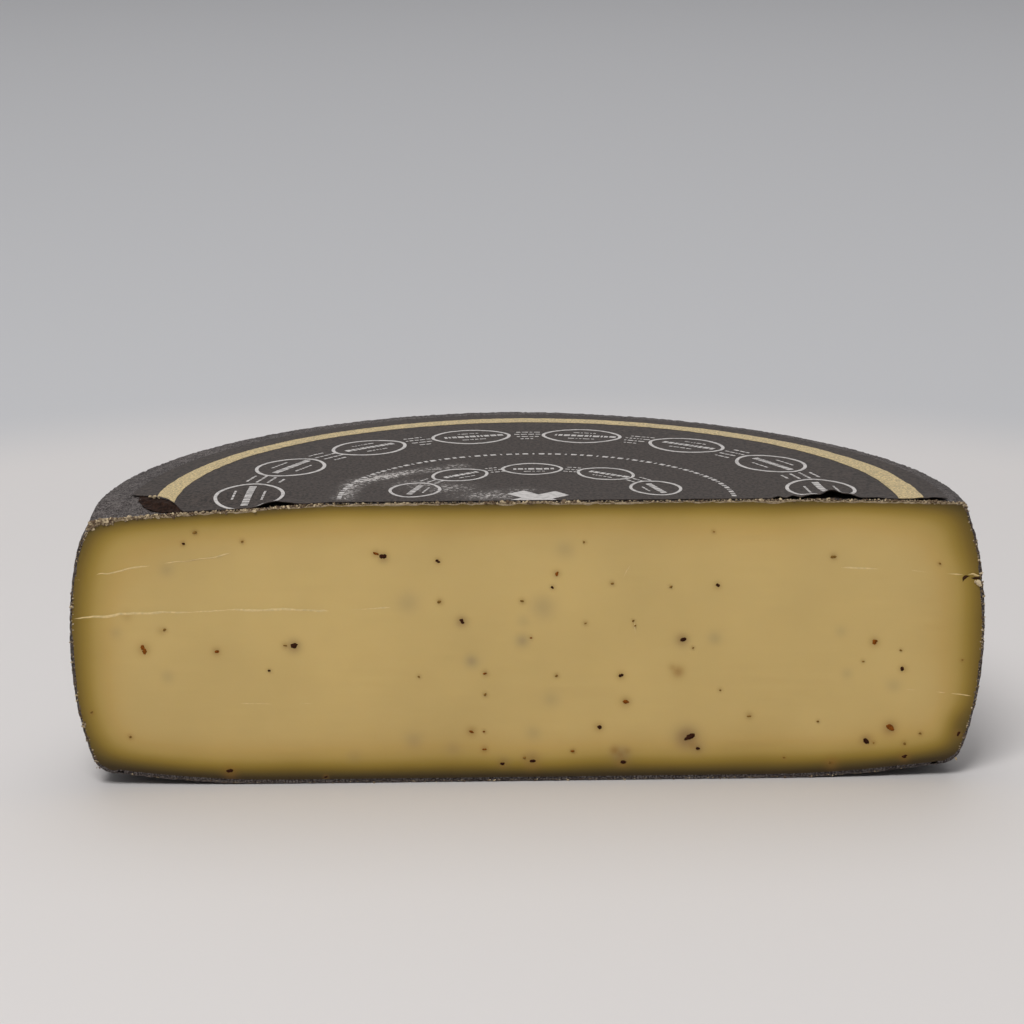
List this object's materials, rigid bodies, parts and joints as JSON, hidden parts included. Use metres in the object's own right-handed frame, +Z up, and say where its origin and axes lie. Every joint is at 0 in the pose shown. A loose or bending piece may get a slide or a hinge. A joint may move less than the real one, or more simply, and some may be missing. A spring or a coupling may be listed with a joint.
{
  "type": "half wheel of truffle cheese",
  "caption": "Half wheel of pressed cheese with truffle flakes in the cut face, a dark coated rind and a printed top sheet.",
  "frame": {"origin": "centre of the bounding box's base, on the surface the cheese stands on", "axes": "+X along the cut, to the right as seen from in front of the cut face; +Y away from the cut face, into the cheese; +Z up"},
  "size_m": [0.2448, 0.1256, 0.081],
  "materials": {
    "cheese": "moist cut paste inside a dark coated rind",
    "label_paper": "dark printed paper with a gold ring"
  },
  "bodies": {
    "root": {"cheese_half": "cheese", "top_label": "label_paper"}
  },
  "joints": []
}
